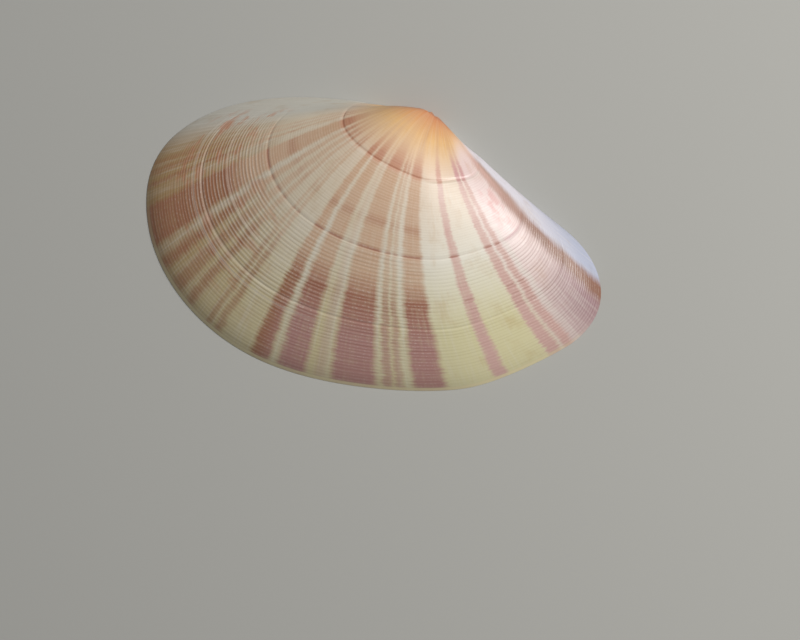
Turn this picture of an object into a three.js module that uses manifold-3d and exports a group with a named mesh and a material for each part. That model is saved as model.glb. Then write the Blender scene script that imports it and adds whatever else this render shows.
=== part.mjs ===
// Left valve of a striped tellin clam, lying on its open side with the dome up.
// Millimetres. +X runs to the blunt hind end, +Y to the hinge side, +Z out of the dome.
// The rim lies in the plane z = 0, and the origin is the middle of the box round the rim.
//
// The shell grows by one rule. At growth stage s, from 0 at the beak to 1 at the rim, it is the
// finished rim made s times as large about the beak, turned up about the hinge axis, and turned a
// little in the plane of the rim. The line round the valve at one stage is a growth line.

import * as THREE from 'three';
import Module from 'manifold-3d';
import { mergeVertices } from 'three/addons/utils/BufferGeometryUtils.js';

const wasm = await Module();
wasm.setup();

// Rim, seen from above, from the hind end of the hinge round the belly to its front end
const BEAK = [4.1, 17.66];
const RIM_START = [11.2, 12.8];
const RIM_CURVES = [
  [20.0, 7.5, 25.0, 7.1, 28.4, 2.5],
  [31.6, -2.0, 29.3, -5.9, 27.1, -8.1],
  [25.0, -10.0, 19.3, -14.4, 15.3, -15.9],
  [10.9, -17.6, -0.6, -19.3, -9.2, -17.8],
  [-19.1, -16.2, -26.4, -9.8, -28.9, -3.1],
  [-31.0, 2.7, -29.9, 6.7, -27.2, 9.8],
  [-21.8, 15.8, -12.8, 17.4, -5.0, 17.75],
];

// Growth
const HINGE_AXIS_DEG = -2.0;      // direction of the hinge axis from +X
const GROWTH_PER_TURN = 1.85;     // growth, as a natural logarithm, for each radian of turn
const TWIST_DEG = 14.2;           // turn in the plane for each step of growth by e
const TWIST_LEVEL = 3.2;          // growth, as a natural logarithm, past which the twist levels off
const TWIST_FADE = [0.42, 0.52];  // share of the rim over which the twist sets in, hind and front
const HINGE_TWIST_SHARE = 0.12;   // share of the twist that the hinge margin itself has
const HINGE_FADE = 0.05;          // share of the rim over which the turn sets in beside the hinge
const FIRST_STAGE = 0.07;         // stage of the closed tip of the beak

// Rounding of the wall where it leaves the rim
const SHOULDER_RISE = 1.0;
const SHOULDER_REACH = 1.6;

// Growth ridges
const RIDGES = 23;
const RIDGE_HEIGHT = 0.19;
const RIDGE_CREST = 0.7;          // place of the crest within its ridge
const REST_LINES = [0.317, 0.565, 0.783];
const REST_LINE_DEPTH = 0.14;
const RIDGE_FULL_SPACING = 1.1;   // spacing at which ridges have their full height
const RIM_FADE = 0.03;            // share of growth over which ridges fade to the smooth rim

// Inside
const RIM_WIDTH = 0.85;
const HINGE_PLATE_WIDTH = 2.5;
const HINGE_PLATE_FADE = 0.13;    // share of the rim over which the plate narrows to the rim
const INNER_BEAK = [5.2, 14.7];
const INNER_FIRST_STAGE = 0.2;
const INNER_SHOULDER_RISE = 0.75;
const INNER_HEIGHT = 0.92;        // height of the hollow as a share of the grown height
const INNER_ROWS = 9;

// Hinge sockets, cut up into the hinge plate: corners in the plane of the rim
const SOCKET_DEPTH = 0.8;
const SOCKETS = [
  [[3.4, 17.0], [0.6, 16.4], [2.4, 15.7]],
  [[4.3, 16.9], [3.8, 15.5], [5.0, 15.6]],
];
const LIGAMENT_GROOVE = [[5.8, 15.4], [10.2, 12.3], [10.5, 12.7], [6.1, 15.8]];
const LIGAMENT_GROOVE_DEPTH = 0.6;

// Mesh
const COLUMNS = 80;
const INNER_COLUMNS = 60;
const EDGE_SAMPLES = 160;         // points of the edge that the shoulder is measured from
const SLOPE_STEP = 0.004;         // step in s and v over which the slope is taken
const SAME_POINT = 1e-5;

const smoothStep = (x) => THREE.MathUtils.smoothstep(x, 0, 1);

function rimPath() {
  const path = new THREE.Path().moveTo(...RIM_START);
  for (const curve of RIM_CURVES) {
    path.bezierCurveTo(...curve);
  }
  return path;
}

const rim = rimPath();

// Point of the rim at the share v of its length, moved inwards by inset(v)
function rimPoint(v, inset) {
  const point = rim.getPointAt(v);
  const along = rim.getTangentAt(v);
  const width = inset(v);
  return new THREE.Vector2(point.x + along.y * width, point.y - along.x * width);
}

// One grown surface: where a point of the rim stood at stage s
function grownPoint(surface, s, v) {
  const age = -Math.log(s);
  const besideHinge = smoothStep(v / HINGE_FADE) * smoothStep((1 - v) / HINGE_FADE);
  const turn = (age / GROWTH_PER_TURN) * besideHinge;
  const away = smoothStep(v / TWIST_FADE[0]) * smoothStep((1 - v) / TWIST_FADE[1]);
  const twistShare = THREE.MathUtils.lerp(HINGE_TWIST_SHARE, 1, away);
  const twistAge = TWIST_LEVEL * Math.tanh(age / TWIST_LEVEL);
  const twist = -THREE.MathUtils.degToRad(TWIST_DEG) * twistAge * twistShare;
  const axis = THREE.MathUtils.degToRad(HINGE_AXIS_DEG);
  const beak = new THREE.Vector3(...surface.beak, 0);
  const edge = rimPoint(v, surface.inset);
  return new THREE.Vector3(edge.x, edge.y, 0)
    .sub(beak)
    .applyAxisAngle(new THREE.Vector3(0, 0, 1), -axis)
    .applyAxisAngle(new THREE.Vector3(1, 0, 0), -turn)
    .applyAxisAngle(new THREE.Vector3(0, 0, 1), axis + twist)
    .multiplyScalar(s)
    .add(beak);
}

function distanceToLoop(point, loop) {
  const segment = new THREE.Line3();
  const nearest = new THREE.Vector3();
  let least = Infinity;
  loop.forEach((corner, i) => {
    segment.set(corner, loop[(i + 1) % loop.length]);
    segment.closestPointToPoint(point, true, nearest);
    least = Math.min(least, nearest.distanceTo(point));
  });
  return least;
}

function edgeLoop(surface) {
  const loop = [new THREE.Vector3(...surface.beak, 0)];
  for (let i = 0; i <= EDGE_SAMPLES; i += 1) {
    loop.push(grownPoint(surface, 1, i / EDGE_SAMPLES));
  }
  return loop;
}

// The grown surface with its rounded shoulder above the rim
function shellPoint(surface, s, v) {
  const point = grownPoint(surface, s, v);
  const onHinge = v === 0 || v === 1;
  if (s < 1 && !onHinge) {
    const away = distanceToLoop(point, surface.loop);
    point.z *= surface.height;
    point.z += surface.shoulder * (1 - Math.exp(-away / SHOULDER_REACH));
  }
  return point;
}

// Outward shift of a ridge, which is lower where the growth lines crowd together
function ridgeShift(surface, s, v, relief) {
  const along = shellPoint(surface, s, v + SLOPE_STEP).sub(shellPoint(surface, s, v - SLOPE_STEP));
  const stages = [s - SLOPE_STEP, Math.min(s + SLOPE_STEP, 1)];
  const outward = shellPoint(surface, stages[1], v).sub(shellPoint(surface, stages[0], v));
  const normal = new THREE.Vector3().crossVectors(along, outward);
  const spacing = normal.length() / along.length() / (stages[1] - stages[0]) / RIDGES;
  const height = relief * smoothStep(spacing / RIDGE_FULL_SPACING) * smoothStep((1 - s) / RIM_FADE);
  return normal.setLength(height);
}

// Growth ridges: each rises to its crest and drops to the next groove
function outerRows() {
  const rows = [{ s: FIRST_STAGE, relief: 0 }];
  const restGrooves = REST_LINES.map((stage) => Math.round(stage * RIDGES));
  for (let ridge = 1; ridge < RIDGES; ridge += 1) {
    const groove = ridge + 1;
    rows.push({ s: (ridge + RIDGE_CREST) / RIDGES, relief: RIDGE_HEIGHT });
    rows.push({ s: groove / RIDGES, relief: restGrooves.includes(groove) ? -REST_LINE_DEPTH : 0 });
  }
  return rows;
}

function innerRows() {
  const rows = [];
  for (let i = 0; i <= INNER_ROWS; i += 1) {
    const share = i / INNER_ROWS;
    rows.push({ s: INNER_FIRST_STAGE + (1 - INNER_FIRST_STAGE) * share, relief: 0 });
  }
  return rows;
}

// A patch of rows and columns, closed at its first row, with the loop of its free edge
function grownPatch(surface, rows, columns) {
  const points = [];
  for (const { s, relief } of rows) {
    for (let i = 0; i <= columns; i += 1) {
      const v = i / columns;
      const point = shellPoint(surface, s, v);
      const inside = i > 0 && i < columns && s < 1;
      if (relief !== 0 && inside) {
        point.add(ridgeShift(surface, s, v, relief));
      }
      points.push(point);
    }
  }
  const across = columns + 1;
  const triangles = [];
  for (let row = 0; row < rows.length - 1; row += 1) {
    for (let i = 0; i < columns; i += 1) {
      const a = row * across + i;
      const b = a + across;
      triangles.push([a, b + 1, b], [a, a + 1, b + 1]);
    }
  }
  const beak = points.push(new THREE.Vector3(...surface.beak, 0)) - 1;
  const tip = new THREE.Vector3();
  for (let i = 0; i <= columns; i += 1) {
    tip.addScaledVector(points[i], 1 / across);
  }
  const centre = points.push(tip) - 1;
  for (let i = 0; i < columns; i += 1) {
    triangles.push([centre, i + 1, i]);
  }
  triangles.push([centre, beak, columns], [centre, 0, beak]);

  const last = rows.length - 1;
  const edge = [beak];
  for (let row = 0; row < last; row += 1) {
    edge.push(row * across);
  }
  for (let i = 0; i <= columns; i += 1) {
    edge.push(last * across + i);
  }
  for (let row = last - 1; row >= 0; row -= 1) {
    edge.push(row * across + columns);
  }
  return { points, triangles, edge };
}

function makeSurface(beak, inset, height, shoulder) {
  const surface = { beak, inset, height, shoulder };
  surface.loop = edgeLoop(surface);
  return surface;
}

function plateInset(v) {
  const beside = Math.max(1 - v / HINGE_PLATE_FADE, 1 - (1 - v) / HINGE_PLATE_FADE, 0);
  return RIM_WIDTH + (HINGE_PLATE_WIDTH - RIM_WIDTH) * smoothStep(beside);
}

// Outer wall, inner wall and the flat rim between them, as one closed mesh
function valveGeometry() {
  const outside = grownPatch(makeSurface(BEAK, () => 0, 1, SHOULDER_RISE), outerRows(), COLUMNS);
  const hollow = makeSurface(INNER_BEAK, plateInset, INNER_HEIGHT, INNER_SHOULDER_RISE);
  const inside = grownPatch(hollow, innerRows(), INNER_COLUMNS);
  const offset = outside.points.length;
  const points = [...outside.points, ...inside.points];
  const triangles = [...outside.triangles];
  for (const [a, b, c] of inside.triangles) {
    triangles.push([a + offset, c + offset, b + offset]);
  }
  const outerEdge = outside.edge;
  const innerEdge = inside.edge.map((index) => index + offset);
  const flat = (edge) => edge.map((index) => new THREE.Vector2(points[index].x, points[index].y));
  const edges = [...outerEdge, ...innerEdge];
  for (const face of THREE.ShapeUtils.triangulateShape(flat(outerEdge), [flat(innerEdge)])) {
    const [a, b, c] = face.map((corner) => edges[corner]);
    const normal = new THREE.Triangle(points[a], points[b], points[c]).getNormal(new THREE.Vector3());
    triangles.push(normal.z > 0 ? [a, c, b] : [a, b, c]);
  }
  const geometry = new THREE.BufferGeometry().setFromPoints(points);
  geometry.setIndex(triangles.flat());
  return geometry;
}

// Bodies for the sockets
function prism(corners, depth) {
  const shape = new THREE.Shape(corners.map(([x, y]) => new THREE.Vector2(x, y)));
  const geometry = new THREE.ExtrudeGeometry(shape, { depth: depth * 2, bevelEnabled: false });
  return geometry.translate(0, 0, -depth);
}

function toSolid(geometry) {
  const bare = geometry.clone();
  bare.deleteAttribute('normal');
  bare.deleteAttribute('uv');
  const merged = mergeVertices(bare, SAME_POINT);
  return new wasm.Manifold(new wasm.Mesh({
    numProp: 3,
    vertProperties: new Float32Array(merged.attributes.position.array),
    triVerts: new Uint32Array(merged.index.array),
  }));
}

function toGeometry(solid) {
  const mesh = solid.getMesh();
  const geometry = new THREE.BufferGeometry();
  geometry.setAttribute('position', new THREE.BufferAttribute(mesh.vertProperties, 3));
  geometry.setIndex(new THREE.BufferAttribute(mesh.triVerts, 1));
  geometry.computeVertexNormals();
  return geometry;
}

function makeValve() {
  let solid = toSolid(valveGeometry());
  for (const corners of SOCKETS) {
    solid = solid.subtract(toSolid(prism(corners, SOCKET_DEPTH)));
  }
  solid = solid.subtract(toSolid(prism(LIGAMENT_GROOVE, LIGAMENT_GROOVE_DEPTH)));
  const material = new THREE.MeshStandardMaterial({ color: 0xd8c6b0, roughness: 0.4, metalness: 0 });
  const mesh = new THREE.Mesh(toGeometry(solid), material);
  mesh.name = 'valve';
  return mesh;
}

const shell = new THREE.Group();
shell.add(makeValve());

export default shell;
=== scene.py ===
import math

import bpy
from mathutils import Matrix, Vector


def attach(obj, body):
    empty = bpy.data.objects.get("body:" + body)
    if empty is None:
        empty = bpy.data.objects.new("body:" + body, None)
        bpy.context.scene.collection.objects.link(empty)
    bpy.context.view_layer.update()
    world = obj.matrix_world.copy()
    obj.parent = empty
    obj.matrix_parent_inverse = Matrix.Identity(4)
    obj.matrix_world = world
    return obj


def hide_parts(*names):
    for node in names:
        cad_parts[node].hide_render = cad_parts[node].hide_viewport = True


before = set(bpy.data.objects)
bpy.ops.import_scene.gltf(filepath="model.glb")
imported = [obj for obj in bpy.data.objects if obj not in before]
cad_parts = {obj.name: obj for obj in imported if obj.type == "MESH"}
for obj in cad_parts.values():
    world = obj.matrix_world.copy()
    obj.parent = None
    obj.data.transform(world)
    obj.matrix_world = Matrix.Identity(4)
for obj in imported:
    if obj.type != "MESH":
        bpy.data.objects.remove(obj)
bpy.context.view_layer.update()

MM = 0.001

# Rim of the valve in the plane it rests on, from the hind end of the hinge round the belly to
# the front end: start, then two handles and an end for each curve, in mm
BEAK = (4.1, 17.66)
RIM_START = (11.2, 12.8)
RIM_CURVES = (
    ((20.0, 7.5), (25.0, 7.1), (28.4, 2.5)),
    ((31.6, -2.0), (29.3, -5.9), (27.1, -8.1)),
    ((25.0, -10.0), (19.3, -14.4), (15.3, -15.9)),
    ((10.9, -17.6), (-0.6, -19.3), (-9.2, -17.8)),
    ((-19.1, -16.2), (-26.4, -9.8), (-28.9, -3.1)),
    ((-31.0, 2.7), (-29.9, 6.7), (-27.2, 9.8)),
    ((-21.8, 15.8), (-12.8, 17.4), (-5.0, 17.75)),
)
INNER_BEAK = (5.2, 14.7)

# The beak leans out, in mm, and is held softly inside the lines of the hinge and the hind slope:
# y on each line where x is 0, and its slope
BEAK_LEAN = (0.12, 0.48)
HINGE_LINE = 18.03
HINGE_SLOPE = 0.039
HIND_LINE = 21.33
HIND_SLOPE = -0.738
HINGE_SOFTNESS = 0.9

# Hollows in the hinge plate: corners in mm
HINGE_HOLLOWS = (
    ((3.4, 16.9), (2.0, 16.75), (0.8, 16.4), (1.6, 15.9), (2.5, 15.8)),
    ((4.25, 16.7), (3.9, 15.7), (4.9, 15.7)),
    ((5.9, 15.3), (8.0, 13.8), (10.0, 12.4), (10.3, 12.7), (8.3, 14.2), (6.1, 15.7)),
)
HOLLOW_DEPTH = 0.65

# Growth rule
HINGE_AXIS = math.radians(-2.0)
GROWTH_PER_TURN = 1.85
TWIST = math.radians(14.2)
TWIST_LEVEL = 3.2
TWIST_FADE_HIND = 0.42
TWIST_FADE_FRONT = 0.52
HINGE_TWIST_SHARE = 0.12
HINGE_FADE = 0.05
SHOULDER_REACH = 1.6
SLOPE_STEP = 0.004

# Growth ridges
RIDGES = 85
EARLY_RIDGES = 31
LATE_RIDGES = 8
EARLY_END = 0.56
LATE_START = 0.8
ROWS = 372
FIRST_STAGE = 0.07
RIDGE_HEIGHT = 0.030
RIDGE_FULL_SPACING = 0.42
REST_STAGES = (0.295, 0.552, 0.785)
REST_DEPTH = 0.05
COLUMNS = 170
INNER_FIRST_STAGE = 0.09
INNER_ROWS = 80
INNER_COLUMNS = 140


# Node trees

class Flow:
    """A number or vector that runs through a node tree, so that sums read as arithmetic."""

    def __init__(self, tree, socket):
        self.tree = tree
        self.socket = socket

    def __add__(self, other):
        return calc(self.tree, "ADD", self, other)

    def __radd__(self, other):
        return calc(self.tree, "ADD", other, self)

    def __sub__(self, other):
        return calc(self.tree, "SUBTRACT", self, other)

    def __rsub__(self, other):
        return calc(self.tree, "SUBTRACT", other, self)

    def __mul__(self, other):
        return calc(self.tree, "MULTIPLY", self, other)

    def __rmul__(self, other):
        return calc(self.tree, "MULTIPLY", other, self)

    def __truediv__(self, other):
        return calc(self.tree, "DIVIDE", self, other)

    def __neg__(self):
        return calc(self.tree, "MULTIPLY", self, -1.0)


def feed(tree, socket, value):
    if isinstance(value, Flow):
        value = value.socket
    if isinstance(value, bpy.types.NodeSocket):
        tree.links.new(value, socket)
    else:
        socket.default_value = value


def place(tree, kind, inputs=None, **settings):
    """Add a node, set its options, and feed its inputs by name or number."""
    node = tree.nodes.new(kind)
    for name, setting in settings.items():
        setattr(node, name, setting)
    for name, value in (inputs or {}).items():
        feed(tree, node.inputs[name], value)
    return node


def flow(tree, kind, output, inputs=None, **settings):
    return Flow(tree, place(tree, kind, inputs, **settings).outputs[output])


def calc(tree, operation, first, second=0.0, third=0.0):
    return flow(tree, "ShaderNodeMath", 0, {0: first, 1: second, 2: third}, operation=operation)


def vector_calc(tree, operation, first, second=(0.0, 0.0, 0.0)):
    output = 1 if operation in ("LENGTH", "DISTANCE", "DOT_PRODUCT") else 0
    return flow(tree, "ShaderNodeVectorMath", output, {0: first, 1: second}, operation=operation)


def vector_scale(tree, vector, factor):
    return flow(tree, "ShaderNodeVectorMath", 0, {0: vector, "Scale": factor}, operation="SCALE")


def ease(tree, value, low, high, start=0.0, end=1.0):
    """Smooth step of a value from low to high."""
    inputs = {"Value": value, "From Min": low, "From Max": high, "To Min": start, "To Max": end}
    return flow(tree, "ShaderNodeMapRange", 0, inputs, interpolation_type="SMOOTHSTEP")


def combine(tree, x=0.0, y=0.0, z=0.0):
    return flow(tree, "ShaderNodeCombineXYZ", 0, {"X": x, "Y": y, "Z": z})


def separate(tree, vector):
    node = place(tree, "ShaderNodeSeparateXYZ", {0: vector})
    return [Flow(tree, socket) for socket in node.outputs]


def compare(tree, operation, first, second, **settings):
    inputs = {0: first, 1: second}
    return flow(tree, "FunctionNodeCompare", 0, inputs, operation=operation, **settings)


def choose(tree, condition, if_false, if_true, kind="VECTOR"):
    node = place(tree, "GeometryNodeSwitch", input_type=kind)
    feed(tree, node.inputs["Switch"], condition)
    feed(tree, node.inputs["False"], if_false)
    feed(tree, node.inputs["True"], if_true)
    return Flow(tree, node.outputs[0])


def new_group(name, tree_kind, inputs, outputs):
    """A node group with its named sockets; returns the tree and a dictionary of its inputs."""
    tree = bpy.data.node_groups.new(name, tree_kind)
    for socket_name, kind, default in inputs:
        socket = tree.interface.new_socket(socket_name, in_out="INPUT", socket_type=kind)
        if default is not None:
            socket.default_value = default
    for socket_name, kind in outputs:
        tree.interface.new_socket(socket_name, in_out="OUTPUT", socket_type=kind)
    entry = tree.nodes.new("NodeGroupInput")
    given = {socket.name: Flow(tree, socket) for socket in entry.outputs if socket.name}
    return tree, given


def finish_group(tree, results):
    leave = tree.nodes.new("NodeGroupOutput")
    for name, value in results.items():
        feed(tree, leave.inputs[name], value)


def geometry_group(tree, group, output, inputs):
    return flow(tree, "GeometryNodeGroup", output, inputs, node_tree=group)


def ridge_phase(tree, growth):
    """Number of ridges up to a stage of growth: they lie closer in the young shell."""
    early = calc(tree, "MINIMUM", growth, EARLY_END) * EARLY_RIDGES
    late = calc(tree, "MAXIMUM", growth - LATE_START, 0.0) * LATE_RIDGES
    return growth * RIDGES + early + late


NUMBER = "NodeSocketFloat"
WHOLE = "NodeSocketInt"
VECTOR = "NodeSocketVector"
GEOMETRY = "NodeSocketGeometry"


# Growth of the valve

def make_rim_point_group():
    """Point of the rim at a share of its length, moved inwards by the width of the rim."""
    tree, given = new_group("rim point", "GeometryNodeTree", [
        ("Rim", GEOMETRY, None),
        ("Share", NUMBER, 0.0),
        ("Rim Width", NUMBER, 0.0),
        ("Plate Width", NUMBER, 0.0),
        ("Plate Fade", NUMBER, 0.13),
    ], [("Position", VECTOR)])
    share = given["Share"]
    sample = place(tree, "GeometryNodeSampleCurve", {
        "Curves": given["Rim"], "Factor": share}, mode="FACTOR")
    along_x, along_y, _ = separate(tree, sample.outputs["Tangent"])
    hind = ease(tree, share, 0.0, given["Plate Fade"], 1.0, 0.0)
    front = ease(tree, 1.0 - share, 0.0, given["Plate Fade"], 1.0, 0.0)
    plate = given["Plate Width"] - given["Rim Width"]
    width = given["Rim Width"] + plate * calc(tree, "MAXIMUM", hind, front)
    inward = vector_scale(tree, combine(tree, along_y, -along_x), width)
    finish_group(tree, {
        "Position": vector_calc(tree, "ADD", sample.outputs["Position"], inward)})
    return tree


def make_grown_point_group(rim_point):
    """Where a point of the rim stood at a stage of growth, from 0 at the beak to 1."""
    tree, given = new_group("grown point", "GeometryNodeTree", [
        ("Rim", GEOMETRY, None),
        ("Edge", GEOMETRY, None),
        ("Stage", NUMBER, 1.0),
        ("Share", NUMBER, 0.0),
        ("Beak", VECTOR, None),
        ("Rim Width", NUMBER, 0.0),
        ("Plate Width", NUMBER, 0.0),
        ("Height", NUMBER, 1.0),
        ("Shoulder Rise", NUMBER, 1.0 * MM),
        ("Shoulder Reach", NUMBER, SHOULDER_REACH * MM),
        ("Growth per Turn", NUMBER, GROWTH_PER_TURN),
        ("Twist", NUMBER, TWIST),
        ("Twist Level", NUMBER, TWIST_LEVEL),
        ("Hinge Axis", NUMBER, HINGE_AXIS),
        ("Lean", VECTOR, None),
        ("Hinge Line", NUMBER, HINGE_LINE * MM),
        ("Hind Line", NUMBER, HIND_LINE * MM),
    ], [("Position", VECTOR)])
    stage, share = given["Stage"], given["Share"]
    age = -calc(tree, "LOGARITHM", stage, math.e)
    from_front = 1.0 - share
    beside_hinge = ease(tree, share, 0.0, HINGE_FADE) * ease(tree, from_front, 0.0, HINGE_FADE)
    turn = age / given["Growth per Turn"] * beside_hinge
    away = ease(tree, share, 0.0, TWIST_FADE_HIND) * ease(tree, from_front, 0.0, TWIST_FADE_FRONT)
    twist_share = away * (1.0 - HINGE_TWIST_SHARE) + HINGE_TWIST_SHARE
    twist_age = given["Twist Level"] * calc(tree, "TANH", age / given["Twist Level"])
    twist = -(given["Twist"] * twist_age * twist_share)

    point = geometry_group(tree, rim_point, 0, {
        "Rim": given["Rim"], "Share": share,
        "Rim Width": given["Rim Width"], "Plate Width": given["Plate Width"]})
    point = vector_calc(tree, "SUBTRACT", point, given["Beak"])
    for axis, angle in (("Z_AXIS", -given["Hinge Axis"]), ("X_AXIS", -turn),
                        ("Z_AXIS", given["Hinge Axis"] + twist)):
        point = flow(tree, "ShaderNodeVectorRotate", 0, {"Vector": point, "Angle": angle},
                     rotation_type=axis)
    point = vector_calc(tree, "ADD", vector_scale(tree, point, stage), given["Beak"])

    # The beak itself leans out a little over the hinge
    margin_share = ease(tree, from_front, 0.14, 0.0) * (1.0 - stage)
    tip_share = ease(tree, stage, 0.26, 0.05)
    point = vector_calc(tree, "ADD", point, vector_scale(
        tree, given["Lean"], calc(tree, "MAXIMUM", margin_share, tip_share)))

    away_from_edge = flow(tree, "GeometryNodeProximity", "Distance", {
        "Geometry": given["Edge"], "Sample Position": point}, target_element="EDGES")
    x, y, z = separate(tree, point)
    hind_line = x * HIND_SLOPE + given["Hind Line"]
    line = calc(tree, "SMOOTH_MIN", x * HINGE_SLOPE + given["Hinge Line"], hind_line, 0.3 * MM)
    over = calc(tree, "SMOOTH_MAX", y - line, 0.0, HINGE_SOFTNESS * MM)
    over = over * ease(tree, x, -9.0 * MM, -4.0 * MM) * ease(tree, x, 12.0 * MM, 8.0 * MM)
    y = y - over * ease(tree, stage, 1.0, 0.9) * 0.88
    rounding = 1.0 - calc(tree, "EXPONENT", -(away_from_edge / given["Shoulder Reach"]))
    between = calc(tree, "GREATER_THAN", share * from_front * (1.0 - stage), 1e-6)
    raised = (z * given["Height"] + given["Shoulder Rise"] * rounding) * between
    finish_group(tree, {"Position": combine(tree, x, y, raised)})
    return tree


def edge_mesh(tree, given, rim_point):
    """Rim and the two hinge margins as a line of edges, for the rounding of the wall."""
    widths = {name: given[name] for name in ("Rim", "Rim Width", "Plate Width")}
    parameter = place(tree, "GeometryNodeSplineParameter")
    lines = []
    curve = flow(tree, "GeometryNodeResampleCurve", 0, {"Curve": given["Rim"], "Count": 400})
    rim_place = geometry_group(tree, rim_point, 0, {
        **widths, "Share": parameter.outputs["Factor"]})
    curve = flow(tree, "GeometryNodeSetPosition", 0, {"Geometry": curve, "Position": rim_place})
    lines.append(flow(tree, "GeometryNodeCurveToMesh", 0, {"Curve": curve}))
    corners = flow(tree, "GeometryNodeMeshLine", 0, {"Count": 3})
    index = flow(tree, "GeometryNodeInputIndex", 0)
    end = geometry_group(tree, rim_point, 0, {**widths, "Share": index * 0.5})
    middle = compare(tree, "EQUAL", index, 1.0, data_type="FLOAT")
    tip = vector_calc(tree, "ADD", given["Beak"], given["Lean"])
    corner = choose(tree, middle, end, tip)
    lines.append(flow(tree, "GeometryNodeSetPosition", 0, {"Geometry": corners, "Position": corner}))
    join = place(tree, "GeometryNodeJoinGeometry")
    for line in lines:
        tree.links.new(line.socket, join.inputs[0])
    return Flow(tree, join.outputs[0])


def store(tree, geometry, name, value, domain="POINT"):
    return flow(tree, "GeometryNodeStoreNamedAttribute", 0, {
        "Geometry": geometry, "Name": name, "Value": value}, data_type="FLOAT", domain=domain)


def stored(tree, name):
    return flow(tree, "GeometryNodeInputNamedAttribute", 0, {"Name": name}, data_type="FLOAT")


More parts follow.
